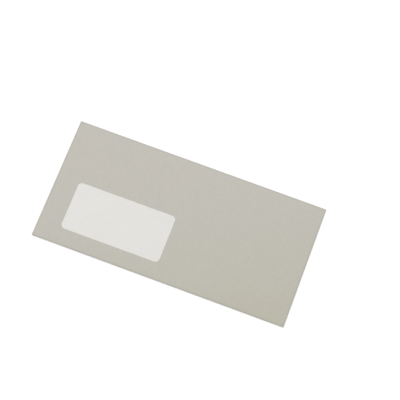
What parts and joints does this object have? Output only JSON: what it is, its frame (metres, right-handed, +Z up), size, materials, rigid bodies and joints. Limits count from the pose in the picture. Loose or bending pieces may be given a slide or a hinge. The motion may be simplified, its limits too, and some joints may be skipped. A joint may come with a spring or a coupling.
{
  "type": "window envelope",
  "caption": "Long window envelope folded from one sheet of grey recycled paper, with a milky address window and a seal flap that turns on its top fold.",
  "frame": {"origin": "middle of the face that the closed envelope rests on, at the outer face of the seal flap", "axes": "+X along the long side, to the right as the window side is read; +Y to the top fold; +Z up, out of the window side"},
  "size_m": [0.229, 0.114, 0.0012],
  "materials": {
    "envelope_paper": "matt grey recycled paper with fine fibres",
    "window_film": "smooth milky glassine",
    "adhesive": "dried dispersion glue",
    "seal_gum": "dry remoistenable gum with a soft sheen"
  },
  "bodies": {
    "envelope": {"front_panel": "envelope_paper", "back_panel": "envelope_paper", "left_side_flap": "envelope_paper", "right_side_flap": "envelope_paper", "left_fold": "envelope_paper", "right_fold": "envelope_paper", "bottom_fold": "envelope_paper", "top_fold": "envelope_paper", "window_film": "window_film", "window_glue_frame": "adhesive", "left_seam_glue": "adhesive", "right_seam_glue": "adhesive"},
    "flap": {"seal_flap": "envelope_paper", "seal_gum_strip": "seal_gum"}
  },
  "joints": [
    {"name": "seal_flap_fold", "type": "hinge", "parent": "envelope", "child": "flap", "pos_m": [0, 0.057, 0.0006], "axis": [1, 0, 0], "range_deg": [0, 180]}
  ]
}
